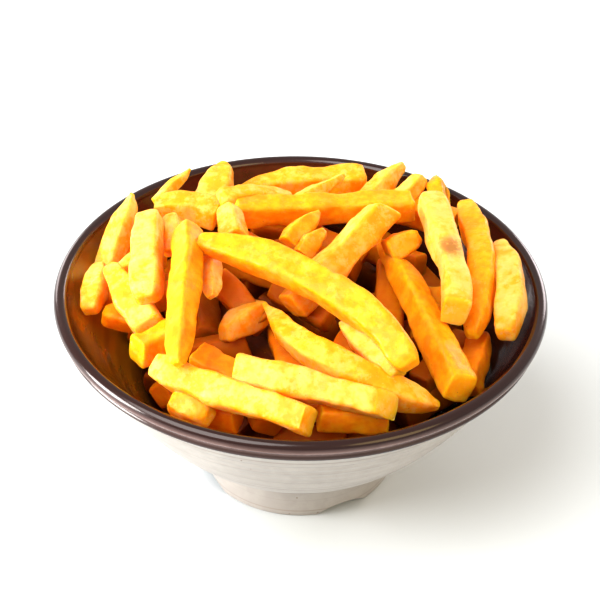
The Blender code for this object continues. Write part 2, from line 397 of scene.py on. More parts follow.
def sums(tree, operation, first, second):
    node = add(tree, "ShaderNodeMath", operation=operation)
    for socket, value in zip(node.inputs, (first, second)):
        if isinstance(value, (int, float)):
            socket.default_value = value
        else:
            join(tree, value, socket)
    return node.outputs[0]


def times(tree, first, second):
    return sums(tree, "MULTIPLY", first, second)


def bump_over(tree, height, strength, distance, below=None):
    """A bump made by a height, laid over another bump's normal."""
    node = add(tree, "ShaderNodeBump", {"Strength": strength, "Distance": distance})
    join(tree, height, node.inputs["Height"])
    if below:
        join(tree, below, node.inputs["Normal"])
    return node.outputs["Normal"]


# %% [markdown]
# ## Specks and clouds
#
# Two patterns turn up on both the stoneware and the potato. Specks are tiny dark dots: iron in the clay, and
# scorched crumbs on the fries. A Voronoi texture gives each cell a centre, a dot is what lies near it, and a
# second random value keeps only some of the cells. Clouds are two sizes of noise mixed, for colour that is
# never quite even.

# %% Pattern groups
specks, speck_in, speck_out = new_group(
    "specks", [("Place", "NodeSocketVector"), ("Cells per metre", "NodeSocketFloat"),
               ("Radius", "NodeSocketFloat"), ("Share", "NodeSocketFloat")], [("Mask", "NodeSocketFloat")])
cells = add(specks, "ShaderNodeTexVoronoi", voronoi_dimensions="3D", feature="F1")
join(specks, speck_in.outputs["Place"], cells.inputs["Vector"])
join(specks, speck_in.outputs["Cells per metre"], cells.inputs["Scale"])
split = add(specks, "ShaderNodeSeparateColor")
join(specks, cells.outputs["Color"], split.inputs["Color"])
chosen = sums(specks, "LESS_THAN", split.outputs[0], speck_in.outputs["Share"])
edge = sums(specks, "SUBTRACT", speck_in.outputs["Radius"], cells.outputs["Distance"])
dot = between(specks, edge, 0.0, 0.12)
join(specks, times(specks, dot, chosen), speck_out.inputs["Mask"])

clouds, cloud_in, cloud_out = new_group(
    "clouds", [("Place", "NodeSocketVector"), ("Coarse", "NodeSocketFloat"), ("Fine", "NodeSocketFloat")],
    [("Value", "NodeSocketFloat")])
coarse = add(clouds, "ShaderNodeTexNoise", {"Detail": 3.0, "Roughness": 0.55})
fine = add(clouds, "ShaderNodeTexNoise", {"Detail": 4.0, "Roughness": 0.6})
for noise, label in ((coarse, "Coarse"), (fine, "Fine")):
    join(clouds, cloud_in.outputs["Place"], noise.inputs["Vector"])
    join(clouds, cloud_in.outputs[label], noise.inputs["Scale"])
half_coarse = times(clouds, coarse.outputs["Fac"], 0.6)
half_fine = times(clouds, fine.outputs["Fac"], 0.4)
join(clouds, sums(clouds, "ADD", half_coarse, half_fine), cloud_out.inputs["Value"])
print("pattern groups: %s" % [group.name for group in bpy.data.node_groups])

# %% [markdown]
# ## The two glazes
#
# Both glazes are glassy coats over fired clay, so one material does both and the stored distance chooses
# between them. The dark glaze is a mauve brown over the lip, where it runs thin, and a deep red brown on the
# wall. Three of its colours are painted light and shade. The inner edge of the lip is painted near black, as
# painted shade from the bowl's dark inside. The bead and the step below it are painted darker, as the shade
# under the rolled band. At the left front, the wall is painted amber with a metallic share, as a painted
# reflection of the lit fries. The pale glaze is a warm off-white with a few iron specks. Throwing rings run
# round it as faint darker lines, which are painted shade in the grooves: a noise that only reads the height
# makes rings of uneven spacing. The clear gloss on top is the shader's coat, weaker over the lip, where years
# of use have dulled it.

# %% Glaze material
WALL_DEEP, WALL_THIN = (0.054, 0.010, 0.006), (0.078, 0.016, 0.008)
# The first colour on the next line is a painted reflection of the lit fries on the wall; the second is
# painted shade at the inner edge of the lip.
PAINTED_FRY_REFLECTION, PAINTED_EDGE_SHADE = (0.95, 0.42, 0.02), (0.022, 0.004, 0.002)
LIP_DEEP, LIP_THIN = (0.155, 0.080, 0.068), (0.210, 0.122, 0.108)
BEAD_SHADE = (0.050, 0.026, 0.022)
PALE_DEEP, PALE_THIN = (0.370, 0.333, 0.303), (0.418, 0.381, 0.348)
GROOVE_SHADE, IRON = (0.28, 0.238, 0.205), (0.16, 0.10, 0.07)
# How metallic the painted reflection patch on the wall is.
REFLECTION_METALLIC = 0.45

glaze, tree, shader = new_material("stoneware_glaze")
place_out = add(tree, "ShaderNodeTexCoord").outputs["Object"]
distance = stored_number(tree, "over_border")
wander = add(tree, "ShaderNodeTexNoise", {"Scale": 90.0, "Detail": 2.0})
join(tree, place_out, wander.inputs["Vector"])
shift = times(tree, sums(tree, "SUBTRACT", wander.outputs["Fac"], 0.5), 1.1)
dark = between(tree, sums(tree, "ADD", distance, shift), -0.2, 0.25)
cloud = pattern_of(tree, clouds, place_out, {"Coarse": 45.0, "Fine": 240.0})
thin = between(tree, cloud, 0.42, 0.62)

axes = add(tree, "ShaderNodeSeparateXYZ")
join(tree, place_out, axes.inputs["Vector"])
# Painted reflection: an amber, partly metallic patch on the left-front wall stands in for the lit fries
# mirrored there.
reflection_side = sums(tree, "ADD", times(tree, axes.outputs["X"], -0.80), times(tree, axes.outputs["Y"], -0.60))
reflection_depth = times(tree, between(tree, distance, 59.0, 44.0), between(tree, distance, 15.0, 31.0, 0.15, 1.0))
painted_reflection = times(tree, between(tree, reflection_side, 33 * MM, 48 * MM), reflection_depth)
wall_colour = blend(tree, thin, WALL_DEEP, WALL_THIN)
wall_colour = blend(tree, painted_reflection, wall_colour, PAINTED_FRY_REFLECTION)
# Painted shade: the inner edge of the lip is near black, for the dark inside of the bowl that it mirrors.
edge_colour = blend(tree, between(tree, distance, 13.0, 16.5), PAINTED_EDGE_SHADE, wall_colour)
lip_colour = blend(tree, thin, LIP_DEEP, LIP_THIN)
bead_colour = blend(tree, between(tree, distance, 4.4, 6.6), BEAD_SHADE, lip_colour)
dark_colour = blend(tree, between(tree, distance, 7.8, 10.0), bead_colour, edge_colour)

pale_colour = blend(tree, thin, PALE_DEEP, PALE_THIN)
rings = add(tree, "ShaderNodeTexNoise", {"Scale": 620.0, "Detail": 1.0}, noise_dimensions="1D")
join(tree, axes.outputs["Z"], rings.inputs["W"])
groove = between(tree, rings.outputs["Fac"], 0.57, 0.68, 0.0, 0.60)
pale_colour = blend(tree, groove, pale_colour, GROOVE_SHADE)
iron = pattern_of(tree, specks, place_out, {"Cells per metre": 420.0, "Radius": 0.16, "Share": 0.10})
pale_colour = blend(tree, iron, pale_colour, IRON)
join(tree, blend(tree, dark, pale_colour, dark_colour), shader.inputs["Base Color"])
join(tree, between(tree, dark, 0.0, 1.0, 0.34, 0.20), shader.inputs["Roughness"])
join(tree, times(tree, painted_reflection, REFLECTION_METALLIC), shader.inputs["Metallic"])
join(tree, between(tree, distance, 13.0, 17.0, 0.42, 1.0), shader.inputs["Coat Weight"])
shader.inputs["Coat Roughness"].default_value = 0.10
shader.inputs["Specular IOR Level"].default_value = 0.35
orange_peel = add(tree, "ShaderNodeTexNoise", {"Scale": 420.0, "Detail": 2.0})
join(tree, place_out, orange_peel.inputs["Vector"])
ring_bump = bump_over(tree, rings.outputs["Fac"], 0.30, 0.25 * MM)
join(tree, bump_over(tree, orange_peel.outputs["Fac"], 0.20, 0.15 * MM, ring_bump), shader.inputs["Normal"])
bowl.data.materials.append(glaze)
print("glaze: %d nodes" % len(tree.nodes))

# %% [markdown]
# ## Five ways for a fry to end
#
# Fries are sawn from the potato as square sticks, so they differ mostly at their ends. A cut end is flat,
# where the blade crossed the potato. A blunt end is rounded over, where the stick came from near the skin. A
# tapered end narrows evenly. A pointed end keeps one side straight and runs out over two centimetres, and a
# sliver does the same over more than three. Each is modelled once: a grid of four by four faces is extruded
# in short steps, like squeezing out a bar, and the last steps are shrunk. The grid's lines crowd towards its
# sides, so subdivision later leaves the sawn edges soft but clear. An extruded sheet leaves its first faces
# behind, so the points inside them are deleted to open the bar again.

# %% Model the ends
STICK = 9.0 * MM          # every end is modelled on a square stick of this thickness
SUPPORT = 0.58            # where the extra lines sit, as a share of the way from the middle to the side
# for each step from the open side to the tip: distance from the tip in mm, and the section that is left
END_STEPS = {
    "cut": ((9.0, 1.0), (6.0, 1.0), (3.0, 1.0), (0.9, 0.985), (0.0, 0.95)),
    "blunt": ((9.0, 1.0), (6.0, 0.98), (3.4, 0.92), (1.5, 0.80), (0.0, 0.58)),
    "taper": ((17.0, 1.0), (14.0, 0.96), (11.0, 0.90), (8.0, 0.83), (5.0, 0.74), (2.4, 0.62), (0.8, 0.48),
              (0.0, 0.30)),
    "point": ((21.0, 1.0), (18.0, 0.98), (15.0, 0.93), (12.0, 0.85), (9.0, 0.74), (6.0, 0.61), (3.5, 0.47),
              (1.4, 0.33), (0.0, 0.20)),
    "sliver": ((33.0, 1.0), (29.0, 0.96), (25.0, 0.90), (21.0, 0.82), (17.0, 0.73), (13.0, 0.62), (9.0, 0.50),
               (5.5, 0.38), (2.4, 0.27), (0.0, 0.16)),
}


def near(value, wanted):
    return abs(abs(value) - wanted) < 0.05 * STICK


def model_end(name):
    steps = END_STEPS[name]
    only()
    bpy.ops.mesh.primitive_grid_add(x_subdivisions=4, y_subdivisions=4, size=STICK,
                                    location=(steps[0][0] * MM, 0, 0), rotation=(0, -math.pi / 2, 0))
    end = bpy.context.object
    end.name = end.data.name = "end_" + name
    place(end)
    edit(end)
    for axis in (1, 2):
        pick(end, lambda co: near(co[axis], STICK / 4))
        size = [1.0, 1.0, 1.0]
        size[axis] = 2 * SUPPORT
        bpy.ops.transform.resize(value=size)
    object_mode()
    corners = [near(vertex.co.y, STICK / 2) and near(vertex.co.z, STICK / 2) for vertex in end.data.vertices]
    number_layer(end, "sawn_edge", [float(corner) for corner in corners])
    edit(end)
    pick(end, lambda co: near(co.y, STICK / 2) and near(co.z, STICK / 2))
    bpy.ops.transform.resize(value=(1.0, 0.93, 0.93))
    bpy.ops.mesh.select_all(action="SELECT")
    for (here, size), (there, left) in zip(steps, steps[1:]):
        bpy.ops.mesh.extrude_region_move(TRANSFORM_OT_translate={"value": ((there - here) * MM, 0, 0)})
        straight_side = -0.5 * STICK * size if name in ("point", "sliver") else 0.0
        shrink = left / size
        bpy.ops.transform.resize(value=(1.0, shrink, shrink), center_override=(there * MM, 0, straight_side))
    mouth = steps[0][0] * MM
    pick(end, lambda co: abs(co.x - mouth) < 0.1 * MM and max(abs(co.y), abs(co.z)) < 0.45 * STICK)
    bpy.ops.mesh.delete(type="VERT")
    object_mode()
    return end


heads = {name: model_end(name) for name in END_STEPS}
tails = {}
for name, head in heads.items():
    tails[name] = copy_of(head, "tail_" + name)
    tails[name].rotation_euler.z = math.pi
    place(tails[name])
    print("%s end: %d faces" % (name, len(head.data.polygons)))

# %% [markdown]
# ## Where each fry lies
#
# A heap that looks natural is laid fry by fry, so the fries are listed here one by one. Each row gives a
# name, the width and depth of the stick, its roll about its own length, how its two ends look, how brown it
# is from 0 to 1, and points along its middle: x, y and height over the rim, all in millimetres. Two points
# make a straight fry and three or more a bent one.

# %% The visible fries
# The fries that lie in shade, in the gaps and underneath, are given browner tones, partly for their own
# browning and partly as painted shade.
FRIES = (
    ("top_long", 10.0, 9.5, 25, "taper", "blunt", 0.40,
     ((-33, -2, 17), (-21, -6.5, 17.3), (-5, -14.5, 16.8), (10, -25, 15), (24, -37, 12), (33, -52, 8))),
    ("top_under", 8.5, 8.5, 25, "taper", "blunt", 0.05, ((13.5, -27.5, 5.5), (30, -52, 4.5))),
    ("top_stub", 8.5, 8.0, 40, "blunt", "cut", 0.20, ((-25, 27, 11.5), (-22, 14, 7))),
    ("middle_thick", 10.0, 9.5, 38, "cut", "cut", 0.24, ((27, 20, 16), (-3, -13, 0))),
    ("middle_stub", 7.5, 7.5, 30, "blunt", "cut", 0.35, ((38.5, 18, 8), (28, 12, 5))),
    ("middle_point_a", 6.5, 6.5, 45, "point", "cut", 0.40, ((5, 28, 11), (-5, 14, 6))),
    ("middle_point_b", 6.5, 6.5, 45, "point", "cut", 0.35, ((6, 18, 10), (0, 10, 4))),
    ("back_long", 9.0, 9.0, 4, "cut", "cut", 0.45, ((-21.8, 33.4, 5.5), (37.7, 38.8, 5.5))),
    ("back_taper", 8.0, 7.5, 0, "blunt", "point", 0.25, ((-28.3, 34.8, 8.5), (-3.7, 45.8, 6))),
    ("back_left_short", 9.5, 10.0, 5, "taper", "cut", 0.20, ((-51, 36, 4), (-40, 37, 4.5), (-28.5, 34, 3.5))),
    ("back_left_point", 4.0, 4.5, 20, "point", "cut", 0.20, ((-40, 59, 6.5), (-50, 42, 2))),
    ("back_left_tip", 12.5, 8.0, 5, "point", "cut", 0.10, ((-28, 63, 7.5), (-32, 46, -2))),
    ("rear_long", 9.5, 8.5, 5, "point", "cut", 0.30, ((-23, 58, 0), (-2, 62, -0.5), (22, 65, -1.5))),
    ("rear_sliver", 6.0, 6.0, 30, "sliver", "cut", 0.25, ((14, 56, 8), (-1, 41, 4.5))),
    ("back_right_point", 7.0, 7.0, 20, "point", "cut", 0.20, ((34, 66, 6), (23, 50, 1))),
    ("back_right_pale", 6.5, 6.5, 20, "blunt", "blunt", 0.05, ((41.5, 57, 5.5), (31, 45, 0))),
    ("back_right_tip", 6.0, 6.0, 30, "point", "cut", 0.60, ((46, 60, 5), (47, 48, 2))),
    ("rim_crumb", 3.5, 3.5, 0, "point", "point", 0.95, ((48, 56, 2), (51, 49, 1))),
    ("left_wall_point", 8.2, 7.5, 25, "point", "cut", 0.05,
     ((-58.5, 36.5, 11), (-61, 27, 3), (-65.5, 14, -9))),
    ("left_block", 9.8, 9.0, 18, "blunt", "blunt", 0.08, ((-50, 18, 13), (-49.5, -1, 11), (-48, -20, 7))),
    ("left_long", 8.2, 8.2, 42, "blunt", "taper", 0.62,
     ((-37.5, 10, 15), (-36, -9, 14.5), (-36, -31, 12), (-36, -55.5, 9))),
    ("left_stub", 7.0, 7.0, 20, "blunt", "cut", 0.10, ((-43, 20, 12), (-42, 8, 5))),
    ("left_cross", 7.0, 7.0, 0, "point", "cut", 0.15, ((-61, 6, 1), (-46, 17, -2))),
    ("left_lean", 9.5, 9.0, 25, "taper", "cut", 0.10, ((-62, 1, 4.5), (-55, -11, 1.5), (-46, -25, -2))),
    ("left_rim", 7.5, 7.8, 15, "taper", "blunt", 0.15, ((-66.5, 13, -3), (-68, -10, -6))),
    ("left_chunk", 9.0, 9.0, 10, "cut", "cut", 0.40, ((-39, -27, -1), (-50.5, -35, -2))),
    ("gap_drop", 6.0, 6.0, 40, "blunt", "taper", 0.10, ((-29, 1, 9), (-28, -17, 6))),
    ("gap_end", 9.5, 8.5, 24, "cut", "blunt", 0.22, ((-12, -8, -5), (-24.5, -20, -5.5))),
    ("gap_bar", 9.0, 9.0, 10, "cut", "cut", 0.80, ((-32, -33, -5.5), (-18, -42, -6.5))),
    ("gap_shade", 8.5, 8.5, 30, "cut", "cut", 0.95, ((-27, 4, -2), (-12, -14, -7))),
    ("right_pale", 8.9, 9.0, -8, "blunt", "cut", 0.02,
     ((43, 34, 12), (45.5, 12, 12), (49, -10, 11), (48, -25, 8))),
    ("right_tan", 9.0, 9.0, 15, "taper", "taper", 0.38,
     ((56, 43, 3.5), (59, 13, 5.5), (57.5, -7, 3.5), (54, -23, -2.5))),
    ("right_edge", 8.8, 9.0, 15, "taper", "blunt", 0.12, ((66, 21, 3.5), (67.5, -4, 3.5), (64.5, -23, -2))),
    ("right_deep", 9.6, 9.0, -28, "sliver", "cut", 0.52, ((27, 27, 1), (38, -14, 2), (49, -48, -3.5))),
    ("front_points", 9.5, 9.0, 15, "sliver", "point", 0.28,
     ((-12, -17.5, 6), (0, -39, 6), (15, -50, 4), (30, -54, 0), (43, -54, -4))),
    ("front_right", 9.0, 8.5, 38, "cut", "cut", 0.10, ((-18.5, -52, 5.5), (26.5, -63.5, 2.5))),
    ("front_left", 9.2, 9.0, 38, "cut", "cut", 0.18, ((-42.5, -45, -0.5), (-30, -53.5, 1), (3.5, -69.5, 1))),
    ("front_left_stub", 8.0, 7.5, 28, "blunt", "blunt", 0.25, ((-38.5, -55, -4), (-26.5, -61, -5.5))),
    ("front_shade", 8.5, 8.5, 0, "cut", "cut", 0.80, ((6, -58, -6), (27, -57, -7))),
    ("under_left", 9.0, 9.0, 0, "cut", "cut", 0.80, ((-66, 4, -11), (-46, 8, -9))),
    ("under_left_back", 9.0, 9.0, 0, "cut", "cut", 0.60, ((-63, 20, -9), (-46, 45, -8))),
    ("under_left_dark", 7.5, 7.5, 10, "blunt", "cut", 0.95, ((-64, -8, -8), (-50, -12, -9))),
    ("under_left_block", 9.0, 9.0, 0, "cut", "cut", 0.90, ((-53, -2, -6), (-36, 0, -5))),
    ("under_front_post", 8.5, 8.5, 0, "cut", "cut", 0.90, ((-35, -49, -12), (-18, -54, -11))),
    ("under_right", 8.5, 8.5, 20, "blunt", "cut", 0.95, ((59, -12, -11), (52, -34, -15))),
    ("under_rear", 9.0, 9.0, 0, "cut", "cut", 0.60, ((-34, 54, -8), (26, 57, -8))),
    ("under_right_back", 9.0, 9.0, 0, "cut", "cut", 0.70, ((24, 56, -3), (53, 41, -3))),
)
# how far the blade leaned at the start and at the end of some sticks, in degrees
SLANTS = {"front_right": (-8, 38), "front_left": (-15, 12), "right_pale": (0, 25), "right_deep": (0, 15),
          "gap_end": (0, 20), "left_lean": (0, 25), "middle_thick": (20, 0), "front_left_stub": (10, 20)}
# places where a stick was sawn through an eye of the potato
EYES = {"right_pale": (47.5, 0.0, 16.5)}
NO_EYE = (0.0, 0.0, 900.0)          # a place far from every fry
EYE_REACH = 8.0 * MM
print("%d fries laid by hand" % len(FRIES))

# %% [markdown]
# ## Making and laying one fry
#
# A straight fry is two ends joined by a bridge of plain rings, about three millimetres apart. Its cut ends
# lean a little, because nobody holds a potato square to the blade, and all its points get a slight shake,
# since no potato is even. Then a Curve modifier bends the stick along its route, with the roll stored as the
# curve's tilt. Subdivision rounds it, Smooth wears some fries more than others, and Displace modifiers add
# slow swellings, dents and small blisters. Each is applied, so what is left is a plain mesh in its place.
#
# Five numbers go with every point for the shader: whether it is on a sawn edge, how far it is from an end,
# how brown the fry is, how deep it lies under the crown of the heap, and how near it is to an eye.

# %% Routes through the points
def along(points, share):
    """A point on the smooth curve through the points, at a share from 0 to 1 of its spans."""
    spans = len(points) - 1
    span = min(int(share * spans), spans - 1)
    t = share * spans - span
    here, there = points[span], points[span + 1]
    before = points[span - 1] if span > 0 else here * 2 - there
    after = points[span + 2] if span + 2 <= spans else there * 2 - here
    return 0.5 * (here * 2 + (there - before) * t + (before * 2 - here * 5 + there * 4 - after) * t ** 2
                  + (here * 3 - before - there * 3 + after) * t ** 3)


def over_rim(x, y, height):
    return Vector((x * MM * unit, y * MM * unit, RIM_HEIGHT + height * MM * unit))


def draw_route(points, roll, dice):
    """A curve object through the points, tilted by the roll and a slight twist, and a little uneven."""
    stations = 32
    data = set_all(bpy.data.curves.new("route", "CURVE"), dimensions="3D", twist_mode="Z_UP")
    spline = data.splines.new("POLY")
    spline.points.add(stations - 1)
    twist = math.radians(dice.uniform(-9.0, 9.0))
    phase = dice.uniform(0.0, math.tau)
    for i, point in enumerate(spline.points):
        share = i / (stations - 1)
        point.co = (*along(points, share), 1.0)
        point.tilt = math.radians(roll) + twist * (share - 0.5)
        waves = 0.055 * math.sin(phase + 6.0 * share) + 0.035 * math.sin(3.0 * phase + 17.0 * share)
        point.radius = 1.0 + waves
    length = sum((a.co - b.co).length for a, b in zip(spline.points, spline.points[1:]))
    return new_object("route", data), length


# %% Make a fry
RING_SPACING = 3.0 * MM
SHAKE = 0.26 * MM
CROWN_TOP = 22.0          # height of the domed crown over the rim in its middle, in mm
CROWN_FALL = 200.0        # the crown falls by the square of the distance from the middle over this
LUMPS, DENTS, BLISTERS = 1.7 * MM, 0.6 * MM, 0.40 * MM


def texture(name, size, depth):
    return set_all(bpy.data.textures.new(name, "CLOUDS"), noise_scale=size, noise_depth=depth)


lumps = texture("lumps", 13.0 * MM, 1)
dents = texture("dents", 6.0 * MM, 1)
blisters = texture("blisters", 2.6 * MM, 2)


def straight_stick(name, start, end, length):
    """Two modelled ends and a bridge between them, from x = 0 to x = length."""
    head, tail = copy_of(heads[start], name), copy_of(tails[end], "tail")
    reach = (END_STEPS[start][0][0] + END_STEPS[end][0][0]) * MM
    squeeze = min(1.0, (length - MM) / reach)
    head.scale.x = tail.scale.x = squeeze
    tail.location.x = length
    place(head)
    place(tail)
    only(head, tail)
    bpy.ops.object.join()
    edit(head)
    bpy.ops.mesh.select_mode(type="EDGE")
    bpy.ops.mesh.select_all(action="DESELECT")
    bpy.ops.mesh.select_non_manifold(extend=False, use_wire=False, use_boundary=True, use_multi_face=False,
                                     use_non_contiguous=False, use_verts=False)
    rings = max(0, round((length - reach * squeeze) / RING_SPACING) - 1)
    bpy.ops.mesh.bridge_edge_loops(number_cuts=rings)
    object_mode()
    return head


def lean_cut(fry, end_x, inwards, angle):
    """Leans the cut at one end, so that its face shows. inwards is 1 at the start and -1 at the end."""
    reach = 9.0 * MM
    for vertex in fry.data.vertices:
        share = max(0.0, 1.0 - abs(vertex.co.x - end_x) / reach)
        vertex.co.x += inwards * share * math.tan(math.radians(angle)) * vertex.co.z


def under_crown(place):
    """How deep a place lies under the domed crown of the heap, in millimetres."""
    crown = CROWN_TOP - (place.x ** 2 + place.y ** 2) / (MM * unit) ** 2 / CROWN_FALL
    return crown - (place.z - RIM_HEIGHT) / (MM * unit)


def make_fry(name, width, depth, roll, start, end, tone, points, dice, levels=2):
    route, length = draw_route([over_rim(*point) for point in points], roll, dice)
    fry = straight_stick("fry_" + name, start, end, length)
    fry.scale = (1.0, width * MM * unit / STICK, depth * MM * unit / STICK)
    place(fry)
    number_layer(fry, "tip", [min(v.co.x, length - v.co.x) / MM for v in fry.data.vertices])
    number_layer(fry, "tone", [tone] * len(fry.data.vertices))
    slants = SLANTS.get(name, (dice.uniform(-12.0, 12.0), dice.uniform(-12.0, 12.0)))
    lean_cut(fry, 0.0, 1, slants[0])
    lean_cut(fry, length, -1, slants[1])
    edit(fry)
    bpy.ops.transform.vertex_random(offset=SHAKE, uniform=1.0, seed=dice.randrange(1000))
    object_mode()
    set_all(fry.modifiers.new("bend", "CURVE"), object=route, deform_axis="POS_X")
    set_all(fry.modifiers.new("rounded", "SUBSURF"), levels=levels, render_levels=levels)
    set_all(fry.modifiers.new("worn", "SMOOTH"), iterations=dice.randint(3, 12) * 2 // 3)
    for pattern, strength in ((lumps, LUMPS), (dents, DENTS), (blisters, BLISTERS)):
        swell = fry.modifiers.new(pattern.name, "DISPLACE")
        set_all(swell, texture=pattern, texture_coords="LOCAL", strength=strength)
    apply_all(fry)
    bpy.data.objects.remove(route)
    number_layer(fry, "buried", [under_crown(vertex.co) for vertex in fry.data.vertices])
    eye = over_rim(*EYES.get(name, NO_EYE))
    number_layer(fry, "eye", [max(0.0, 1.0 - (v.co - eye).length / EYE_REACH) for v in fry.data.vertices])
    bpy.ops.object.shade_smooth()
    return fry


# %% Lay the visible fries
SEED = 17

dice = random.Random(SEED)
kinds = {"cut": [], "blunt": [], "pointed": []}
for row in FRIES:
    fry = make_fry(*row, dice)
    kind = "pointed" if {"point", "sliver"} & set(row[4:6]) else "blunt" if "blunt" in row[4:6] else "cut"
    kinds[kind].append(fry)
for kind, fries in kinds.items():
    print("%s fries: %d, with %d faces" % (kind, len(fries), sum(len(fry.data.polygons) for fry in fries)))

# %% [markdown]
# ## The fries underneath
#
# Between the visible fries one looks down on more fries, in ever deeper shade. Nobody will study them one by
# one, so they are strewn: a seeded random number generator picks a place, a heading and a length, and the
# fry is lowered from the heap's surface until it touches nothing laid before and stays inside the wall. A k-d
# tree answers how near the nearest laid fry is. The heap is hollow at its sides, so the surface falls off
# there.

# %% Strew the fries underneath
from mathutils.kdtree import KDTree

SURFACE = ((0.0, -4.5), (25.0, -4.0), (44.0, -7.5), (52.0, -13.5), (58.0, -24.0), (66.0, -40.0))
ROOM_EACH = 7.3 * MM      # how near the middles of two fries may come
SAMPLE = 3.0 * MM
MOST_FRIES, MOST_TRIES = 90, 2200
DEEPEST_DROP = 25         # how far a fry may be lowered from the heap's surface, in mm
STREWN_RADIUS = 52.0
STREWN_LENGTH, STREWN_THICK, STREWN_SLOPE = (22.0, 60.0), (8.2, 9.4), (-0.22, 0.22)
# The fries underneath get browner tones, partly as painted shade for the dark they lie in.
STREWN_ROLL, STREWN_TONE = (-40, 40), (0.55, 0.95)
WALL_ROOM = 6.0           # how far the middle of an end stays from the wall, in mm


def surface_height(radius):
    """How high over the rim the strewn fries may lie at this distance from the middle, in mm."""
    for (near_r, near_h), (far_r, far_h) in zip(SURFACE, SURFACE[1:]):
        if radius <= far_r:
            return near_h + (far_h - near_h) * (radius - near_r) / (far_r - near_r)
    return SURFACE[-1][1]


def wall_radius(height):
    """The inside radius of the bowl at a height over the rim, in mm."""
    level = top + height
    for (low_r, low_z), (high_r, high_z) in zip(inside, inside[1:]):
        if level <= high_z:
            return low_r + (high_r - low_r) * max(0.0, level - low_z) / max(0.001, high_z - low_z)
    return inside[-1][0]


def samples(points):
    places = [over_rim(*point) for point in points]
    length = sum((b - a).length for a, b in zip(places, places[1:]))
    count = max(2, round(length / SAMPLE))
    return [along(places, i / count) for i in range(count + 1)]


def grown_tree(places):
    tree = KDTree(len(places))
    for i, spot in enumerate(places):
        tree.insert(spot, i)
    tree.balance()
    return tree


laid = [spot for row in FRIES for spot in samples(row[7])]
laid_tree = grown_tree(laid)
strewn = []
tries = 0
while len(strewn) < MOST_FRIES and tries < MOST_TRIES:
    tries += 1
    radius, turn = STREWN_RADIUS * math.sqrt(dice.random()), dice.uniform(0.0, math.tau)
    middle = Vector((radius * math.cos(turn), radius * math.sin(turn), 0.0))
    heading = dice.uniform(0.0, math.tau)
    slope, length = dice.uniform(*STREWN_SLOPE), dice.uniform(*STREWN_LENGTH)
    half = Vector((math.cos(heading), math.sin(heading), slope)).normalized() * length / 2
    for drop in range(DEEPEST_DROP + 1):
        height = surface_height(radius) - drop
        points = [tuple(middle + half * side + Vector((0.0, 0.0, height))) for side in (-1, 1)]
        spots = samples(points)
        inside_wall = all(math.hypot(p[0], p[1]) < wall_radius(p[2]) - WALL_ROOM for p in points)
        low_enough = all(p[2] <= surface_height(math.hypot(p[0], p[1])) + 1.0 for p in points)
        if inside_wall and low_enough and all(laid_tree.find(spot)[2] > ROOM_EACH for spot in spots):
            thick = dice.uniform(*STREWN_THICK)
            strewn.append(("under_%d" % len(strewn), thick, thick, dice.uniform(*STREWN_ROLL), "cut", "cut",
                           dice.uniform(*STREWN_TONE), points))
            laid += spots
            laid_tree = grown_tree(laid)
            break
under = [make_fry(*row, dice, levels=1) for row in strewn]
print("%d fries strewn in %d tries" % (len(under), tries))

# %% [markdown]
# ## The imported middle
#
# Nobody sees the middle of the heap, but a gap between two fries should never show the bowl's floor. A turned
# core fills the bowl well below the visible fries, a little clear of the wall, and its crown is dented with
# the same lumps as the fries, so what glimpse there is of it looks like more potato in the dark.

# %% Core
CORE_CLEAR = 0.8
CORE_CROWN = ((0.0, -16.0), (20.0, -16.0), (34.0, -19.0), (46.0, -27.0), (51.0, -36.0))

core_foot = [(radius - CORE_CLEAR, height + CORE_CLEAR) for radius, height in inside if 8.0 < radius < 50.0]
core_outline = [(radius, top + height) for radius, height in CORE_CROWN] + core_foot[::-1]
core_outline += [(0.0, core_foot[0][1])]
core = turn_outline("fries_core", core_outline, 72)
edit(core)
bpy.ops.mesh.subdivide(number_cuts=1)
object_mode()
uneven_crown = core.modifiers.new("uneven_crown", "DISPLACE")
set_all(uneven_crown, texture=lumps, texture_coords="LOCAL", strength=5.0 * MM, mid_level=0.75)
apply_all(core)
bpy.ops.object.shade_smooth()
# The core counts as deepest under the crown, so the fry shader paints it in the near-black painted shade.
for label, value in (("sawn_edge", 0.0), ("tip", 20.0), ("tone", 1.0), ("buried", 40.0)):
    number_layer(core, label, [value] * len(core.data.vertices))
print("core: %d faces" % len(core.data.polygons))

# %% [markdown]
# ## Fried potato
#
# A fry is a moist, pale yellow inside under a thin fried skin, and its look comes from six things. Light
# sinks in and comes out warmer, which is subsurface scattering. The skin browns unevenly, from cream over
# golden to tan: in soft clouds, more along the sawn edges and at the tips, and more on fries that stayed
# longer in the oil, which is the number each fry carries. The fries lying in shade carry a higher number, so
# part of their brown is painted shade. It blisters, so the surface has small bumps, and patches of the crust
# stay blanched. Where the potato had an eye, a brown patch is left. Deep in the heap the fries are painted a
# darker orange, and near black deepest down: this is painted shade, not a colour of the potato. And a film of
# oil lies on it all, a weak coat that is patchy and thins out deep in the heap.
#
# The colours below look more orange than a fry, because the strong light lifts them. A bright yellow needs a
# skin that returns nearly all the red, under half of the green and almost no blue.

# %% Fry material
# each pair is the colour in the pale and in the deep parts of a cloud
CREAM = ((0.98, 0.50, 0.125), (0.98, 0.42, 0.032))
GOLD = ((0.97, 0.41, 0.010), (0.96, 0.33, 0.003))
TAN = ((0.92, 0.31, 0.004), (0.86, 0.235, 0.0015))
EDGE_GOLD, TIP_GOLD, CUT_FACE = (0.95, 0.27, 0.003), (0.97, 0.30, 0.003), (0.98, 0.48, 0.008)
BLANCHED, EYE_BROWN, SCORCHED = (0.98, 0.57, 0.19), (0.38, 0.17, 0.045), (0.55, 0.17, 0.005)
# Painted shade for the fries deep in the heap: a darker orange, and near black deepest down.
PAINTED_HEAP_SHADE, PAINTED_DEEP_SHADE = (0.44, 0.112, 0.001), (0.10, 0.012, 0.001)

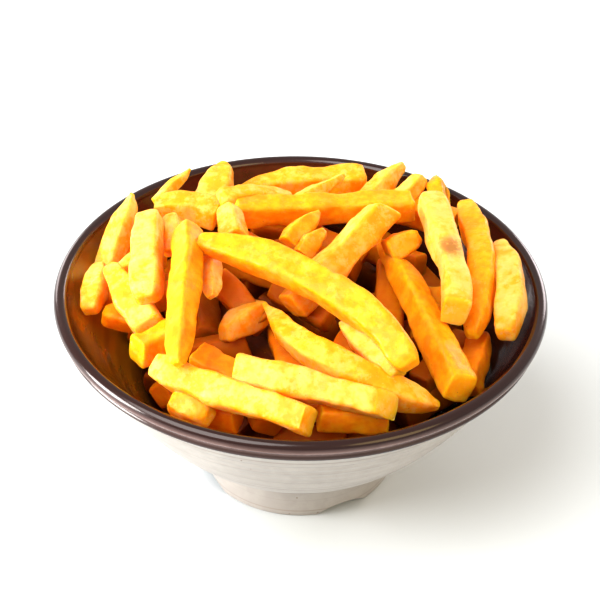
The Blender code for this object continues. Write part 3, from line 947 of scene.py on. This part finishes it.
potato, tree, shader = new_material("fried_potato")
place_out = add(tree, "ShaderNodeTexCoord").outputs["Object"]
tone, sawn, tip, buried, eye = (stored_number(tree, label)
                                for label in ("tone", "sawn_edge", "tip", "buried", "eye"))

cloud = pattern_of(tree, clouds, place_out, {"Coarse": 95.0, "Fine": 380.0})
uneven = between(tree, cloud, 0.38, 0.62)
crust = pattern_of(tree, clouds, place_out, {"Coarse": 240.0, "Fine": 900.0})
crusty = between(tree, crust, 0.44, 0.62)

browning = sums(tree, "ADD", tone, between(tree, uneven, 0.0, 1.0, -0.12, 0.12, soft=False))
pale = blend(tree, uneven, *CREAM)
golden = blend(tree, uneven, *GOLD)
tan = blend(tree, uneven, *TAN)
skin = blend(tree, between(tree, browning, 0.0, 0.35), pale, golden)
skin = blend(tree, between(tree, browning, 0.30, 1.0), skin, tan)
edge_gold = times(tree, between(tree, sawn, 0.25, 0.9), between(tree, crust, 0.40, 0.60, 0.1, 0.6))
tip_gold = times(tree, between(tree, tip, 3.5, 0.5), between(tree, uneven, 0.0, 1.0, 0.3, 0.8))
cut_face = between(tree, tip, 1.1, 0.3, 0.0, 0.5)
blanched = times(tree, between(tree, crusty, 0.2, 1.0, 0.0, 0.48), between(tree, tone, 0.6, 0.1, 0.10, 1.0))
eye_brown = times(tree, between(tree, eye, 0.15, 0.75), between(tree, crusty, 0.0, 1.0, 0.9, 0.45))
# Painted shade: the deeper a fry lies under the crown, the darker and redder it is painted, and browner fries
# take more of it.
heap_shade = times(tree, between(tree, buried, 7.0, 26.0, 0.0, 0.88), between(tree, tone, 0.2, 0.6, 0.4, 1.0))
deep_shade = between(tree, buried, 26.0, 38.0, 0.0, 0.9)
scorch = pattern_of(tree, specks, place_out, {"Cells per metre": 520.0, "Radius": 0.14, "Share": 0.26})
for mask, colour in ((edge_gold, EDGE_GOLD), (tip_gold, TIP_GOLD), (cut_face, CUT_FACE), (blanched, BLANCHED),
                     (eye_brown, EYE_BROWN), (heap_shade, PAINTED_HEAP_SHADE), (deep_shade, PAINTED_DEEP_SHADE), (scorch, SCORCHED)):
    skin = blend(tree, mask, skin, colour)
join(tree, skin, shader.inputs["Base Color"])
join(tree, between(tree, crust, 0.35, 0.65, 0.36, 0.56), shader.inputs["Roughness"])
oil = times(tree, between(tree, uneven, 0.3, 0.9, 0.04, 0.22), between(tree, buried, 20.0, 8.0))
join(tree, oil, shader.inputs["Coat Weight"])
shader.inputs["Coat Roughness"].default_value = 0.25
shader.inputs["Specular IOR Level"].default_value = 0.16
shader.inputs["Subsurface Weight"].default_value = 0.80
shader.inputs["Subsurface Radius"].default_value = (1.0, 0.46, 0.02)
shader.inputs["Subsurface Scale"].default_value = 6.0 * MM

grain = bump_over(tree, crust, 0.45, 0.35 * MM)
pimples = add(tree, "ShaderNodeTexVoronoi", {"Scale": 950.0}, feature="SMOOTH_F1")
join(tree, place_out, pimples.inputs["Vector"])
pimple_height = between(tree, pimples.outputs["Distance"], 0.5, 0.0)
join(tree, bump_over(tree, pimple_height, 0.25, 0.2 * MM, grain), shader.inputs["Normal"])
print("fried potato: %d nodes" % len(tree.nodes))

# %% [markdown]
# ## Joining by kind
#
# Nearly a hundred fries would be as many pieces to keep track of, so each kind becomes one piece. Joining
# keeps every number that the vertices carry. The modelled ends have done their work and go.

# %% Join the kinds
def join_all(name, things):
    only(*things)
    bpy.ops.object.join()
    piece = bpy.context.object
    piece.name = piece.data.name = name
    piece.data.materials.clear()
    piece.data.materials.append(potato)
    return piece


fry_pieces = [join_all("fries_" + kind, fries) for kind, fries in kinds.items()]
fry_pieces += [join_all("fries_underneath", under), join_all("fries_core", [core])]
for end in [*heads.values(), *tails.values()]:
    bpy.data.objects.remove(end)
for piece in fry_pieces:
    print("%s: %d faces" % (piece.name, len(piece.data.polygons)))

# %% [markdown]
# ## Floor and light
#
# The stage is a plain, pale floor that runs out of the picture on all sides. A very large softbox hangs over
# a metre away at the front left, so the left and upper faces of the fries are bright, their right faces fall
# into shade and the bowl's soft shadow lies to the right. A smaller light stands low on the left, like a
# window, and reaches under the belly of the bowl. A warm card at the front right keeps the shaded sides
# glowing, and two low windows behind the bowl glint along its lip. A nearly white world fills the shadows.
# The standard view keeps whites clean and yellows strong, and a gamma a little under one deepens the shade.

# %% Stage
FLOOR_PAINT = (0.655, 0.688, 0.715, 1.0)
WORLD_COLOUR = (1.0, 0.99, 0.965, 1.0)
WORLD_STRENGTH = 0.83
VIEW_GAMMA = 0.86

only()
bpy.ops.mesh.primitive_plane_add(size=6.0)
floor = bpy.context.object
floor.name = floor.data.name = "floor"
floor_paint, tree, shader = new_material("floor_paint")
shader.inputs["Base Color"].default_value = FLOOR_PAINT
shader.inputs["Roughness"].default_value = 0.75
floor.data.materials.append(floor_paint)

world = bpy.data.worlds.new("world")
world.use_nodes = True
sky = world.node_tree.nodes["Background"]
sky.inputs["Color"].default_value = WORLD_COLOUR
sky.inputs["Strength"].default_value = WORLD_STRENGTH
scene = bpy.context.scene
scene.world = world
set_all(scene.view_settings, view_transform="Standard", gamma=VIEW_GAMMA)

BOWL_MIDDLE = Vector((0.0, 0.0, 0.9 * RIM_HEIGHT))
SOFT_LIGHTS = (           # name, place from the bowl's middle in metres, size, power in watts, colour
    ("softbox", (-0.57, -0.39, 1.05), 1.20, 20.0, (1.0, 0.995, 0.97)),
    ("side_window", (-0.88, -0.15, 0.17), 0.50, 14.0, (1.0, 0.99, 0.97)),
    ("warm_card", (0.55, -0.58, 0.62), 0.60, 3.2, (1.0, 0.76, 0.34)),
    ("back_window_left", (-0.60, 0.82, 0.20), 0.40, 1.8, (1.0, 0.93, 0.93)),
    ("back_window_right", (0.60, 0.82, 0.22), 0.46, 3.6, (1.0, 0.90, 0.91)),
)


def soft_light(name, offset, size, power, colour):
    """A round area light at an offset from the bowl's middle, turned to face it."""
    data = bpy.data.lights.new(name, "AREA")
    light = new_object(name, set_all(data, shape="DISK", size=size, energy=power, color=colour))
    turn = (-Vector(offset)).to_track_quat("-Z", "Y").to_matrix().to_4x4()
    light.matrix_world = Matrix.Translation(BOWL_MIDDLE + Vector(offset)) @ turn


for row in SOFT_LIGHTS:
    soft_light(*row)
print("%d soft lights, %.0f W in all" % (len(SOFT_LIGHTS), sum(row[3] for row in SOFT_LIGHTS)))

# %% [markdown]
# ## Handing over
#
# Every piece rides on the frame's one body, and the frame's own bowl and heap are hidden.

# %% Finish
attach(bowl, "root")
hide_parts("bowl")
for piece in fry_pieces:
    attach(piece, "root")
    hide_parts("fries_heap")
